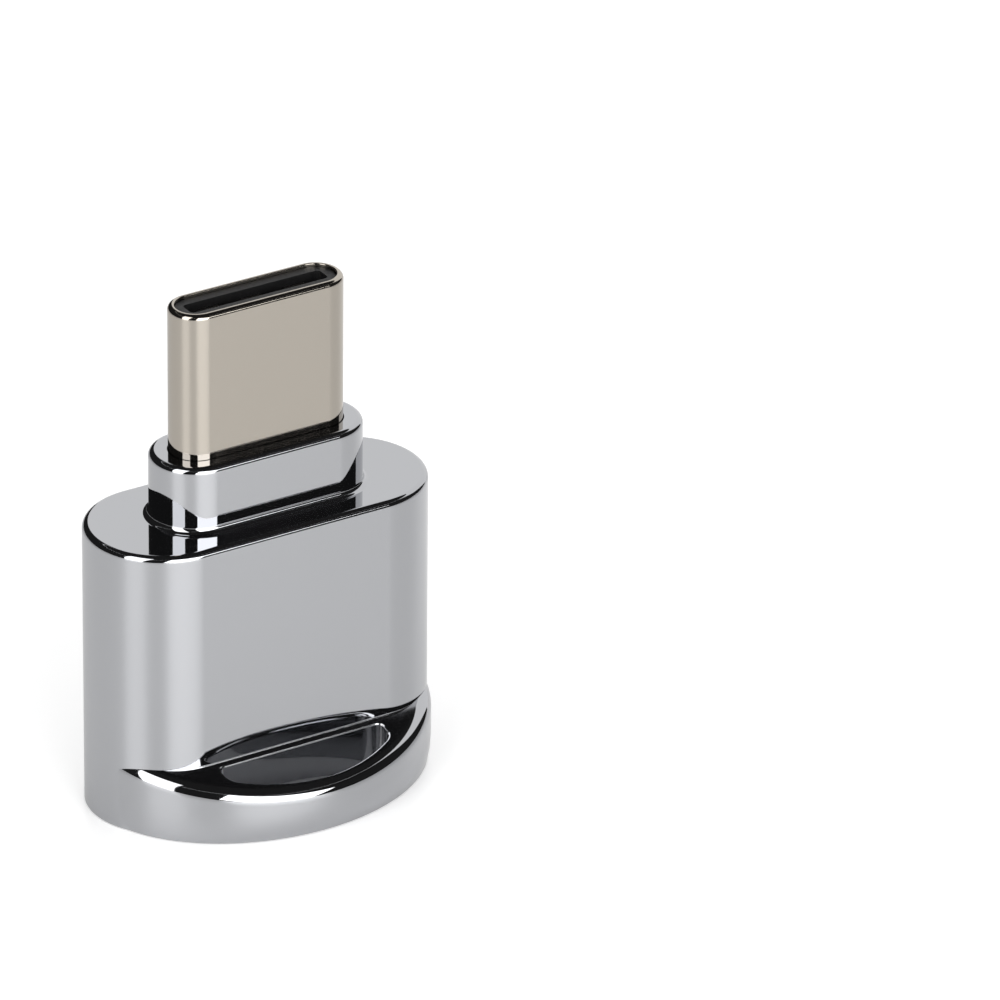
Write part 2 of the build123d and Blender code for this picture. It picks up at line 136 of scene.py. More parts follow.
def housingPatches(h):
    bodyR = h["bodyDepth"] / 2
    endX = h["bodyWidth"] / 2 - bodyR
    reach, lipHalf, rim, e = h["lipReach"], h["lipHalf"], h["rimRound"], h["endRound"]

    # crown: circle in the y, z plane through the two ends of the lip's top with the given rise
    back, front = np.array([0, h["lipBack"]]), np.array([-reach, h["lipFront"]])
    chord = np.linalg.norm(back - front)
    crownR = (chord**2 / 4 + h["lipCrown"]**2) / (2 * h["lipCrown"])
    up = np.array([-(back - front)[1], (back - front)[0]]) / chord
    crownY, crownZ = (back + front) / 2 - (crownR - h["lipCrown"]) * up

    def ball(x, y, r):
        # centre of a ball of radius r under the crown at x, y, and its direction to the crown
        z = crownZ + np.sqrt((crownR - r)**2 - (y - crownY)**2)
        toCrown = np.stack([np.zeros_like(y), y - crownY, z - crownZ], -1) / (crownR - r)
        return np.stack([x, y, z], -1), toCrown

    def lipWall(t, z):
        # ellipse that swells with the cube of the height still to go, upright at the rim, and the normal of that wall
        left = 1 - np.clip(z / h["swellRise"], 0, 1)
        a, b = lipHalf + h["endSwell"] * (1 - left**3), reach + h["frontSwell"] * (1 - left**3)
        c, s, slope = np.cos(t), np.sin(t), 3 * left**2 / h["swellRise"]
        n = np.stack([b * c, a * s, -slope * (b * h["endSwell"] * c**2 + a * h["frontSwell"] * s**2)], -1)
        return np.stack([a * c, b * s, z + 0 * t], -1), n / np.linalg.norm(n, axis=-1, keepdims=True)

    def lipColumn(t):
        # ball that rolls inside the rim: its height settles until it touches both the wall and the crown
        z = 0 * t + h["settleStart"]
        for _ in range(h["settleSteps"]):
            place, n = lipWall(t, z)
            centre = place - rim * n
            under, toCrown = ball(centre[..., 0], centre[..., 1], rim)
            z = z + h["settleShare"] * (under[..., 2] - centre[..., 2])
        return z, n, centre, toCrown

    def lipAt(t, s):
        # s from 0 to 1 up the wall, then from 1 to 2 over the rim
        z, n, centre, toCrown = lipColumn(t)
        wall, wallN = lipWall(t, e + np.clip(s, 0, 1) * (z - e))
        bend = slerp(n, toCrown, np.clip(s - 1, 0, 1)[..., None])
        over = (s > 1)[..., None]
        return np.where(over, centre + rim * bend, wall), np.where(over, bend, wallN)

    def outside(p):
        # distance outside the round end of the body, on the +x side
        return np.hypot(p[..., 0] - endX, p[..., 1]) - bodyR

    # right hand tip: where each column of the lip comes out of the body and goes back into it
    t = np.linspace(h["searchFrom"], h["searchTo"], h["searchColumns"])
    s = np.linspace(0, 2, h["searchRows"])
    gap = outside(lipAt(t[:, None], s)[0])
    shown = np.flatnonzero(gap.max(1) > 0)
    t, gap = t[shown[0] : shown[-1] + 1], gap[shown[0] : shown[-1] + 1]
    top = gap.argmax(1)
    sLow = np.where(gap[:, 0] > 0, 0, crossing(np.where(np.arange(len(s)) < top[:, None], -gap, -1), s))
    sHigh = np.where(gap[:, -1] > 0, 2, crossing(np.where(np.arange(len(s)) > top[:, None], gap, 1), s))
    sLow[0] = sHigh[0] = s[top[0]]
    kBottom, kFull = np.argmax(gap[:, 0] > 0), np.argmax(gap[:, -1] > 0)
    tBottom, tFull = t[kBottom], t[kFull]

    def turnAt(t, s):
        # angle round the body's end of a point on the lip
        p = lipAt(t, s)[0]
        return np.arctan2(p[..., 1], p[..., 0] - endX)

    phiHigh = turnAt(t[: kFull + 1], sHigh[: kFull + 1])
    phiLow = turnAt(t[: kBottom + 1], sLow[: kBottom + 1])
    tipPhi = np.linspace(phiHigh[-1], phiLow[-1], h["tipColumns"])
    seamPhi = np.linspace(phiLow[-1], phiHigh[0], h["seamColumns"] + 1)[1:]
    # columns of the tip from its point forward: t and s of the lower end, and of the upper end
    endPhi = np.concatenate([tipPhi, seamPhi])[::-1]
    highT, highS = (np.interp(-endPhi, -phiHigh, v[: kFull + 1]) for v in (t, sHigh))
    lowT, lowS = (np.interp(-seamPhi[::-1], -phiLow, v[: kBottom + 1]) for v in (t, sLow))
    lowT = np.concatenate([lowT, np.linspace(tBottom, tFull, h["tipColumns"])])
    lowS = np.concatenate([lowS, np.zeros(h["tipColumns"])])
    highT[-1], highS[-1] = tFull, 2
    joinZ = lipAt(highT, highS)[0][:, 2]
    seamZ = lipAt(lowT, lowS)[0][: h["seamColumns"] + 1, 2]
    seamZ[0], seamZ[-1] = joinZ[0], e

    # columns round the body: front from the left tip to the right tip, then round the back
    phi = np.linspace(-quarter, endPhi[-1], h["cornerColumns"] + 1)
    right = np.concatenate([phi[:-1], endPhi[::-1]])
    straight = np.linspace(-1, 1, h["frontColumns"] + 1)[1:-1]
    one = np.ones_like(right)
    front = [
        np.concatenate([-one, straight, one]),
        np.concatenate([-np.cos(right)[::-1], 0 * straight, np.cos(right)]),
        np.concatenate([np.sin(right)[::-1], 0 * straight - 1, np.sin(right)]),
    ]
    side, corner = np.linspace(endPhi[0], 0, h["sideColumns"]), np.linspace(0, quarter, h["backColumns"] + 1)
    phi = np.concatenate([side[:-1], corner])
    straight = np.linspace(1, -1, h["backStraight"] + 1)[1:-1]
    one = np.ones_like(phi)
    rear = [
        np.concatenate([one, straight, -one]),
        np.concatenate([np.cos(phi), 0 * straight, -np.cos(phi)[::-1]]),
        np.concatenate([np.sin(phi), 0 * straight + 1, np.sin(phi)[::-1]]),
    ]
    around = [np.concatenate([f, r[1:-1]]) for f, r in zip(front, rear)]
    nFront, nTip, nSeam = len(front[0]), len(endPhi), h["seamColumns"]
    frontX, frontY = stadium(front, h["bodyWidth"], h["bodyDepth"])
    frontZ = crownZ + np.sqrt(crownR**2 - (frontY - crownY)**2)
    frontZ[:nTip], frontZ[-nTip:] = joinZ, joinZ[::-1]
    # hollow round between crown and body: a ball resting on both, shrinking to nothing towards the tips
    join = slice(nTip - 1, nFront - nTip + 1)
    step = np.arange(nFront - 2 * nTip + 2)
    fade = np.clip(np.minimum(step, step[::-1]) / h["joinFade"], 0, 1)
    joinR = (h["joinRound"] * fade**2 * (3 - 2 * fade))[:, None]
    joinN = np.stack([front[1][join], front[2][join], 0 * step], -1)
    joinY = frontY[join, None] + joinR * joinN[:, 1:2]
    joinC = np.sqrt((crownR + joinR) ** 2 - (joinY - crownY) ** 2)
    joinUp = np.concatenate([0 * joinY, joinY - crownY, joinC], 1) / (crownR + joinR)
    frontZ[join] = crownZ + joinC[:, 0]
    baseZ = np.concatenate([frontZ, np.full(len(around[0]) - nFront, joinZ[0])])
    # below the lip's tips the wall starts further forward, under the seam
    under = [np.concatenate([f[-nSeam - 1 : -1], r, f[1 : nSeam + 1]]) for f, r in zip(front, rear)]
    underZ = np.concatenate([seamZ[:0:-1], np.full(len(rear[0]), joinZ[0]), seamZ[1:]])

    patches = []
    w, d, a = h["bodyWidth"], h["bodyDepth"], np.linspace(0, quarter, h["bendRows"])
    # flat end face round the cavity, then the rounded end edge and lower wall of the back
    endW, endD = w - 2 * e, d - 2 * e
    endFace = loops(around, [h["cavityWidth"], endW], [h["cavityDepth"], endD], [0, 0], [-quarter] * 2)
    patches.append(grid(*endFace, closed=True))
    low = a[::2] - quarter
    back = 2 * e * (1 - np.cos(low))
    patches.append(grid(*loops(under, w - back, d - back, e + e * np.sin(low), low)))
    count = h["lowRows"]
    lowZ = e + np.linspace(0, 1, count)[:, None] * (underZ - e)
    patches.append(grid(*loops(under, [w] * count, [d] * count, lowZ, [0] * count)))

    # upper wall, shoulder round, shoulder, hollow neck foot, neck wall, neck round and neck top
    wallTop = h["bodyHeight"] - h["topRound"]
    count = h["wallRows"]
    wallZ = baseZ + np.linspace(0, 1, count)[:, None] * (wallTop - baseZ)
    patches.append(grid(*loops(around, [w] * count, [d] * count, wallZ, [0] * count), closed=True))
    rows = []
    inset = 2 * h["topRound"] * (1 - np.cos(a))
    rows.append((w - inset, d - inset, wallTop + h["topRound"] * np.sin(a), a))
    nw, nd, f = h["neckWidth"], h["neckDepth"], h["footRound"]
    hollow = quarter - a
    spread = 2 * f * (1 - np.cos(hollow))
    rows.append((nw + spread, nd + spread, h["bodyHeight"] + f - f * np.sin(hollow), hollow))
    r = h["neckRound"]
    inset = 2 * r * (1 - np.cos(a))
    rows.append((nw - inset, nd - inset, h["neckTop"] - r + r * np.sin(a), a))
    rows.append(([h["boreWidth"]], [h["boreDepth"]], [h["neckTop"]], [quarter]))
    patches.append(grid(*loops(around, *[np.concatenate(v) for v in zip(*rows)]), closed=True))

    # inside: bore of the plug, holder pocket and cavity, walls and ledges each with their own normals
    steps = [
        (h["boreWidth"], h["boreDepth"], h["neckTop"]), (h["boreWidth"], h["boreDepth"], h["pocketTop"]),
        (h["pocketWidth"], h["pocketDepth"], h["pocketTop"]), (h["pocketWidth"], h["pocketDepth"], h["cavityTop"]),
        (h["cavityWidth"], h["cavityDepth"], h["cavityTop"]), (h["cavityWidth"], h["cavityDepth"], 0),
    ]
    for k, (p, q) in enumerate(zip(steps[:-1], steps[1:])):
        lift = half if k % 2 == 0 else -quarter
        patches.append(grid(*loops(around, *zip(p, q), [lift] * 2), closed=True))

    # lip: wall and rim column by column, each tip's columns ending on the body
    middle = np.linspace(tFull, -half - tFull, h["archColumns"] + 1)[1:-1]

    def acrossLip(tip, between, farTip):
        # values of the right tip, the front between the tips, and the left tip from its base to its point
        return np.concatenate([tip, between, farTip[::-1]])

    wallS, rimS = np.linspace(0, 1, h["lipRows"]), np.linspace(1, 2, h["bendRows"] + 4)
    s = np.concatenate([wallS[:-1], rimS])[:, None] / 2
    lipT = acrossLip(lowT, middle, -half - lowT) * (1 - s) + acrossLip(highT, middle, -half - highT) * s
    lipS = acrossLip(lowS, 0 * middle, lowS) * (1 - s) + acrossLip(highS, 0 * middle + 2, highS) * s
    place, normal = lipAt(lipT, lipS)
    frontLine = np.stack([frontX, frontY, frontZ], -1)
    bend = slerp(joinN, joinUp, np.linspace(0, 1, h["joinRows"])[:, None, None])
    hollow = frontLine[join] + joinR * (joinN - bend)
    patches.append(grid(hollow, bend))
    place[-1, :nTip], place[-1, -nTip:] = frontLine[::-1][:nTip], frontLine[:nTip][::-1]
    seam = frontLine[::-1][: nSeam + 1].copy()
    seam[:, 2] = seamZ
    place[0, : nSeam + 1], place[0, -nSeam - 1 :] = seam, seam[::-1] * (-1, 1, 1)
    place[:, 0], place[:, -1] = frontLine[-1], frontLine[0]
    patches.append(grid(place, normal))
    # end round under the wall
    edge = place[0, nSeam : place.shape[1] - nSeam]
    foot = normal[0, nSeam : place.shape[1] - nSeam] * (1, 1, 0)
    foot[0], foot[-1] = ([front[1][k], front[2][k], 0] for k in (nFront - 1 - nSeam, nSeam))
    foot /= np.linalg.norm(foot, axis=-1, keepdims=True)
    upZ = np.array([0, 0, 1.0])
    outward, upward = np.cos(low)[:, None, None], np.sin(low)[:, None, None]
    patches.append(grid(edge - e * (1 - outward) * foot + e * upward * upZ, outward * foot + upward * upZ))

    # hole outline, right half from the arch's crown to the middle of the flat side, sampled finely
    hw, hr, fr, flatY = h["holeHalf"], h["archRound"], h["flatRound"], h["holeFlat"]
    archR = (hw**2 + h["archRise"]**2) / (2 * h["archRise"])
    archY = h["holeArch"] + archR
    cornerX = hw - hr
    cornerY = archY - np.sqrt((archR - hr)**2 - cornerX**2)
    lean = np.arctan2(cornerX, archY - cornerY)
    sweep = np.linspace(0, 1, 400)
    turns = [sweep * lean, lean + sweep * (quarter - lean), quarter + sweep * quarter]
    centres = [(0, archY, archR), (cornerX, cornerY, hr), (hw - fr, flatY - fr, fr)]
    outline = [
        np.stack([cx + r * np.sin(v), cy - r * np.cos(v), np.sin(v), -np.cos(v)], -1)
        for v, (cx, cy, r) in zip(turns, centres)
    ]
    outline = np.concatenate(outline + [np.array([[0, flatY, 0, 1.0]])])
    length = np.concatenate([[0], np.cumsum(np.hypot(*np.diff(outline[:, :2], axis=0).T))])
    archEnd = archR * lean
    anchor = archEnd + h["anchorShare"] * hr * (quarter - lean)

    def holeLoop(along, side):
        # points of the outline at these lengths, mirrored for side -1, and their directions into the hole
        x, y, nx, ny = (np.interp(along, length, outline[:, k]) for k in range(4))
        place = np.stack([x * side, y], -1)
        return place, -np.stack([nx * side, ny, np.zeros_like(nx)], -1)

    # far side of the hole follows the arch by x, near side follows the flat by x, and the rest shares the corners
    farTop = place[-1, nTip - 1 : place.shape[1] - nTip + 1]
    nearTop = hollow[-1]

    def share(line, limit, atLimit, atZero):
        # length along the outline for each point of a line, by x up to the limit and by its own length beyond
        x = np.abs(line[:, 0])
        own = np.concatenate([[0], np.cumsum(np.linalg.norm(np.diff(line, axis=0), axis=-1))])
        fromEnd = np.minimum(own, own[-1] - own)
        near = slice(0, len(x) // 2 + 1)
        order = np.argsort(x[near])
        atX = np.interp(limit, x[near][order], fromEnd[near][order])
        beyond = anchor + (atLimit - anchor) * fromEnd / atX
        return np.where(x <= limit, atZero(x), beyond)

    def alongArch(x):
        return archR * np.arcsin(np.clip(x / archR, -1, 1))

    def alongFlat(x):
        return length[-1] - x

    farS = share(farTop, archR * np.sin(lean), archEnd, alongArch)
    nearS = share(nearTop, hw - fr, length[-1] - (hw - fr), alongFlat)
    farHole, farIn = holeLoop(farS, np.sign(farTop[:, 0] + 1e-12))
    nearHole, nearIn = holeLoop(nearS, np.sign(nearTop[:, 0] + 1e-12))
    hole, inward = np.concatenate([farHole, nearHole]), np.concatenate([farIn, nearIn])
    outer = np.concatenate([farTop, nearTop])

    # crown between the rim and the mouth round, then the mouth round and the hole wall
    m = h["mouthRound"]
    centre, toCrown = ball(hole[:, 0] - m * inward[:, 0], hole[:, 1] - m * inward[:, 1], m)
    inner = centre + m * toCrown
    v = np.linspace(0, 1, h["crownRows"])[:, None]
    x, y = ((1 - v) * outer[:, k] + v * inner[:, k] for k in (0, 1))
    z = crownZ + np.sqrt(crownR**2 - (y - crownY)**2)
    crown = np.stack([x, y, z], -1)
    crown[0] = outer
    crownN = np.stack([0 * y, y - crownY, z - crownZ], -1) / crownR
    patches.append(grid(crown, crownN, closed=True))
    bend = slerp(toCrown, inward, np.linspace(0, 1, h["mouthRows"])[:, None, None])
    mouth = centre + m * bend
    mouth[0] = crown[-1]
    patches.append(grid(mouth, bend, closed=True))
    flatHole = np.concatenate([hole, np.zeros((len(hole), 1))], 1)
    fall = np.linspace(1, 0, h["holeRows"])[:, None] * centre[:, 2]
    wall = flatHole + fall[..., None] * upZ
    wall[0] = mouth[-1]
    patches.append(grid(wall, np.broadcast_to(inward, wall.shape), closed=True))

    # end face of the lip, from the hole out to the end round, with a small piece at each tip
    endLine = (edge - e * foot) * (1, 1, 0)
    nearX, nearY = stadium(front, endW, endD)
    bodyLine = np.stack([nearX, nearY, 0 * nearX], -1)
    nEnd = h["tipColumns"]
    outer = np.concatenate([endLine[nEnd - 1 : len(endLine) - nEnd + 1], bodyLine[nTip - 1 : nFront - nTip + 1]])
    v = np.linspace(0, 1, h["faceRows"])[:, None, None]
    face = (1 - v) * flatHole + v * outer
    down = np.broadcast_to(-upZ, face.shape)
    patches.append(grid(face, down, closed=True))
    tipLine = bodyLine[nSeam : nFront - nSeam]
    for near, far in ((tipLine[::-1][:nEnd], endLine[:nEnd]), (tipLine[:nEnd], endLine[::-1][:nEnd])):
        tip = np.stack([near, far])
        patches.append(grid(tip, np.broadcast_to(-upZ, tip.shape)))
    return patches


housing = piece("housingCasting", housingPatches(housingShape), "housing")


# plug shell in mm: a drawn tube with a rounded tip
plugShape = dict(
    width=8.25, depth=2.4, foot=13.4, tip=23.1, wall=0.3, tipRound=0.24, mouthRound=0.05,
    endColumns=41, sideColumns=12, wallRows=4, tipRows=13, mouthRows=7,
)


def plugPatches(p):
    # columns round the tube: right end, back, left end, front
    phi = np.linspace(-quarter, quarter, p["endColumns"])
    straight = np.linspace(1, -1, p["sideColumns"] + 1)[1:-1]
    one, zero = np.ones_like(phi), np.zeros_like(straight)
    columns = [
        np.concatenate([one, straight, -one, -straight]),
        np.concatenate([np.cos(phi), zero, -np.cos(phi), zero]),
        np.concatenate([np.sin(phi), zero + 1, -np.sin(phi), zero - 1]),
    ]
    # rows up the outside, over the tip round and the mouth round and down the inside, then the ring at the foot
    w, d, r, m = p["width"], p["depth"], p["tipRound"], p["mouthRound"]
    inW, inD = w - 2 * p["wall"], d - 2 * p["wall"]
    a, b = np.linspace(0, quarter, p["tipRows"]), np.linspace(quarter, half, p["mouthRows"])
    inset, flare = 2 * r * (1 - np.cos(a)), 2 * m * (1 + np.cos(b))
    count = p["wallRows"]
    rows = [
        ([w] * count, [d] * count, np.linspace(p["foot"], p["tip"] - r, count + 1)[:-1], [0] * count),
        (w - inset, d - inset, p["tip"] - r + r * np.sin(a), a),
        (inW + flare, inD + flare, p["tip"] - m + m * np.sin(b), b),
        ([inW], [inD], [p["foot"]], [half]),
    ]
    tube = grid(*loops(columns, *[np.concatenate(v) for v in zip(*rows)]), closed=True)
    ring = grid(*loops(columns, [inW, w], [inD, d], [p["foot"]] * 2, [-quarter] * 2), closed=True)
    return [tube, ring]


plugShell = piece("plugShellTube", plugPatches(plugShape), "plug_shell")


def linear(hexText):
    # sRGB hex to linear light
    v = np.array([int(hexText[k : k + 2], 16) for k in (1, 3, 5)]) / 255
    v = np.where(v <= 0.04045, v / 12.92, ((v + 0.055) / 1.055) ** 2.4)
    return (*v.tolist(), 1.0)


def add(tree, kind, inputs=None, **settings):
    # one shader node: inputs take a value or the output of another node
    made = tree.nodes.new("ShaderNode" + kind)
    for key, value in settings.items():
        setattr(made, key, value)
    for key, value in (inputs or {}).items():
        if isinstance(value, bpy.types.NodeSocket):
            tree.links.new(value, made.inputs[key])
        else:
            made.inputs[key].default_value = value
    return made.outputs


def material(name):
    made = bpy.data.materials.new(name)
    made.use_nodes = True
    made.node_tree.nodes.clear()
    return made, made.node_tree


def dress(made, *objects):
    for o in objects:
        o.data.materials.clear()
        o.data.materials.append(made)
    print("material", made.name, "on", ", ".join(o.name for o in objects))


# bright chrome plate over a polished zinc casting: a mirror, faintly cool, with the long soft waves of hand polishing
chrome, tree = material("brightChromePlate")
at = add(tree, "TexCoord")["Object"]
waves = add(tree, "TexNoise", {"Vector": at, "Scale": 1 / (2.5 * mm), "Detail": 1.0})[0]
haze = add(tree, "TexNoise", {"Vector": at, "Scale": 1 / (0.4 * mm), "Detail": 3.0})[0]
rough = add(tree, "MapRange", {"Value": haze, "From Min": 0.3, "From Max": 0.7, "To Min": 0.03, "To Max": 0.05})[0]
bump = add(tree, "Bump", {"Height": waves, "Strength": 1.0, "Distance": 0.0008 * mm})[0]
shade = add(tree, "BsdfPrincipled", {
    "Base Color": linear("#b9babd"), "Metallic": 1.0, "Roughness": rough, "Normal": bump,
})[0]
add(tree, "OutputMaterial", {"Surface": shade})
dress(chrome, housing)

# bright nickel plate over drawn steel: a warmer mirror than chrome, with faint lines along the draw
nickel, tree = material("brightNickelPlate")
at = add(tree, "TexCoord")["Object"]
stretch = add(tree, "Mapping", {"Vector": at, "Scale": (1 / (0.06 * mm), 1 / (0.06 * mm), 1 / (3 * mm))})[0]
lines = add(tree, "TexNoise", {"Vector": stretch, "Scale": 1.0, "Detail": 2.0})[0]
rough = add(tree, "MapRange", {"Value": lines, "From Min": 0.3, "From Max": 0.7, "To Min": 0.05, "To Max": 0.09})[0]
shade = add(tree, "BsdfPrincipled", {"Base Color": linear("#b8b1a7"), "Metallic": 1.0, "Roughness": rough})[0]
add(tree, "OutputMaterial", {"Surface": shade})
dress(nickel, plugShell)

# moulded smoky polycarbonate: clear enough to see the board behind it, with soft flow clouds
smoky, tree = material("smokyPolycarbonate")
at = add(tree, "TexCoord")["Object"]
clouds = add(tree, "TexNoise", {"Vector": at, "Scale": 1 / (3 * mm), "Detail": 2.0})[0]
tint = add(tree, "Mix", {"Factor": clouds, "A": linear("#8d9094"), "B": linear("#a3a6a9")}, data_type="RGBA")
shade = add(tree, "BsdfPrincipled", {
    "Base Color": tint["Result"], "Roughness": 0.08, "IOR": 1.58, "Transmission Weight": 1.0,
})[0]
add(tree, "OutputMaterial", {"Surface": shade})
dress(smoky, nodes["end_insert"])

# glass-filled black nylon, moulded: dull black, a fine grain and small differences in gloss
nylon, tree = material("blackGlassFilledNylon")
at = add(tree, "TexCoord")["Object"]
grain = add(tree, "TexNoise", {"Vector": at, "Scale": 1 / (0.12 * mm), "Detail": 4.0})[0]
tint = add(tree, "Mix", {"Factor": grain, "A": linear("#0c0c0d"), "B": linear("#161617")}, data_type="RGBA")["Result"]
rough = add(tree, "MapRange", {"Value": grain, "To Min": 0.35, "To Max": 0.6})[0]
bump = add(tree, "Bump", {"Height": grain, "Strength": 0.6, "Distance": 0.004 * mm})[0]
shade = add(tree, "BsdfPrincipled", {"Base Color": tint, "Roughness": rough, "IOR": 1.53, "Normal": bump})[0]
add(tree, "OutputMaterial", {"Surface": shade})
dress(nylon, nodes["plug_insulator"], nodes["plug_holder"], nodes["card_contact_carrier"])

# gold flash over nickel on stamped copper strip: yellow and half bright, with rolling lines along the strip
gold, tree = material("goldFlashedStrip")
at = add(tree, "TexCoord")["Object"]
stretch = add(tree, "Mapping", {"Vector": at, "Scale": (1 / (0.02 * mm), 1 / (0.02 * mm), 1 / (0.6 * mm))})[0]
lines = add(tree, "TexNoise", {"Vector": stretch, "Scale": 1.0, "Detail": 2.0})[0]
tint = add(tree, "Mix", {"Factor": lines, "A": linear("#d8ae5a"), "B": linear("#e6c37a")}, data_type="RGBA")["Result"]
rough = add(tree, "MapRange", {"Value": lines, "To Min": 0.16, "To Max": 0.3})[0]
shade = add(tree, "BsdfPrincipled", {"Base Color": tint, "Metallic": 1.0, "Roughness": rough})[0]
add(tree, "OutputMaterial", {"Surface": shade})
dress(gold, nodes["front_contacts"], nodes["back_contacts"], nodes["card_contacts"])

# cold-rolled stainless spring strip, stamped: grey satin metal with rolling lines across the width
spring, tree = material("rolledStainlessStrip")
at = add(tree, "TexCoord")["Object"]
stretch = add(tree, "Mapping", {"Vector": at, "Scale": (1 / (2 * mm), 1 / (0.05 * mm), 1 / (0.05 * mm))})[0]
lines = add(tree, "TexNoise", {"Vector": stretch, "Scale": 1.0, "Detail": 3.0})[0]
tint = add(tree, "Mix", {"Factor": lines, "A": linear("#b4b1ac"), "B": linear("#c6c3be")}, data_type="RGBA")["Result"]
rough = add(tree, "MapRange", {"Value": lines, "To Min": 0.2, "To Max": 0.38})[0]
shade = add(tree, "BsdfPrincipled", {"Base Color": tint, "Metallic": 1.0, "Roughness": rough})[0]
add(tree, "OutputMaterial", {"Surface": shade})
dress(spring, *(nodes[n] for n in ("latch_plate", "front_ground_spring", "back_ground_spring", "card_guide")))

# glass cloth laminate under dark solder mask, silk-screened and cured: dark glossy face, the weave just showing
laminate, tree = material("solderMaskedLaminate")
at = add(tree, "TexCoord")["Object"]
warp = add(tree, "TexWave", {"Vector": at, "Scale": 1 / (8 * mm), "Distortion": 0.4}, bands_direction="X")[1]
weft = add(tree, "TexWave", {"Vector": at, "Scale": 1 / (8 * mm), "Distortion": 0.4}, bands_direction="Z")[1]
weave = add(tree, "Math", {0: warp, 1: weft}, operation="MULTIPLY")[0]
tint = add(tree, "Mix", {"Factor": weave, "A": linear("#4a2f1c"), "B": linear("#5d3d26")}, data_type="RGBA")["Result"]
bump = add(tree, "Bump", {"Height": weave, "Strength": 0.5, "Distance": 0.004 * mm})[0]
shade = add(tree, "BsdfPrincipled", {"Base Color": tint, "Roughness": 0.28, "IOR": 1.55, "Normal": bump})[0]
add(tree, "OutputMaterial", {"Surface": shade})
dress(laminate, nodes["circuit_board"])

# transfer-moulded epoxy of the chip: charcoal, matt from the spark-eroded mould
epoxy, tree = material("mouldedChipEpoxy")
at = add(tree, "TexCoord")["Object"]
grain = add(tree, "TexNoise", {"Vector": at, "Scale": 1 / (0.06 * mm), "Detail": 3.0})[0]
tint = add(tree, "Mix", {"Factor": grain, "A": linear("#1d1e20"), "B": linear("#2c2d2f")}, data_type="RGBA")["Result"]
bump = add(tree, "Bump", {"Height": grain, "Strength": 0.8, "Distance": 0.004 * mm})[0]
shade = add(tree, "BsdfPrincipled", {"Base Color": tint, "Roughness": 0.62, "IOR": 1.55, "Normal": bump})[0]
add(tree, "OutputMaterial", {"Surface": shade})
dress(epoxy, nodes["controller_chip"])

# matt tin electroplate, reflowed: pale grey metal, softly blotched by its crystals
tin, tree = material("reflowedTinPlate")
at = add(tree, "TexCoord")["Object"]
blotch = add(tree, "TexNoise", {"Vector": at, "Scale": 1 / (0.15 * mm), "Detail": 3.0})[0]
tint = add(tree, "Mix", {"Factor": blotch, "A": linear("#c3c4c4"), "B": linear("#d6d6d4")}, data_type="RGBA")["Result"]
rough = add(tree, "MapRange", {"Value": blotch, "To Min": 0.22, "To Max": 0.42})[0]
shade = add(tree, "BsdfPrincipled", {"Base Color": tint, "Metallic": 1.0, "Roughness": rough})[0]
add(tree, "OutputMaterial", {"Surface": shade})
dress(tin, nodes["controller_leads"], nodes["capacitor_terminals"], nodes["resistor_terminals"])

# fired barium titanate of the capacitors: tan, fine and slightly glossy like glazed clay
titanate, tree = material("firedTitanateCeramic")
at = add(tree, "TexCoord")["Object"]
grain = add(tree, "TexNoise", {"Vector": at, "Scale": 1 / (0.08 * mm), "Detail": 3.0})[0]
tint = add(tree, "Mix", {"Factor": grain, "A": linear("#a4845c"), "B": linear("#b89a72")}, data_type="RGBA")["Result"]
shade = add(tree, "BsdfPrincipled", {"Base Color": tint, "Roughness": 0.4, "IOR": 1.6})[0]
add(tree, "OutputMaterial", {"Surface": shade})
dress(titanate, nodes["capacitor_bodies"])

# glass-coated alumina of the resistors: dark coat printed over a white ceramic body
alumina, tree = material("coatedAluminaCeramic")
at = add(tree, "TexCoord")["Object"]
grain = add(tree, "TexNoise", {"Vector": at, "Scale": 1 / (0.08 * mm), "Detail": 3.0})[0]
depth = add(tree, "SeparateXYZ", {"Vector": at})["Y"]
coat = add(tree, "Math", {0: depth, 1: -0.6 * mm}, operation="LESS_THAN")[0]
body = add(tree, "Mix", {"Factor": grain, "A": linear("#cfcbc2"), "B": linear("#dedad2")}, data_type="RGBA")["Result"]
printed = add(tree, "Mix", {
    "Factor": grain, "A": linear("#191a1b"), "B": linear("#252627"),
}, data_type="RGBA")["Result"]
tint = add(tree, "Mix", {"Factor": coat, "A": body, "B": printed}, data_type="RGBA")["Result"]
shade = add(tree, "BsdfPrincipled", {"Base Color": tint, "Roughness": 0.35, "IOR": 1.6})[0]
add(tree, "OutputMaterial", {"Surface": shade})
dress(alumina, nodes["resistor_bodies"])


# studio: white floor and backdrop, dark walls and ceiling that only mirrors see, and two soft boxes
# directions are degrees from +x towards +y, and degrees above the floor
studio = dict(
    centre=(0.0, 0.0, 0.01), floorSize=4.0, floorDrop=0.02 * mm, floorLift=0.25, ambient=0.8,
    patchColumns=61, patchRows=25,
    darkWall=dict(azimuth=(70, 336, 345, 352, 362, 374), bottom=-2, top=(46.3, 46.3, 42, 30, 22, 4), radius=0.9),
    darkCeiling=dict(azimuth=(0, 360), bottom=47, top=(90, 90), radius=0.9),
    keyBox=dict(azimuth=-91, elevation=17, lean=24, width=47, height=44, distance=0.6, radiance=3.7),
    sideBox=dict(azimuth=-161, elevation=29, lean=0, width=28, height=62, distance=0.6, radiance=2.5),
)


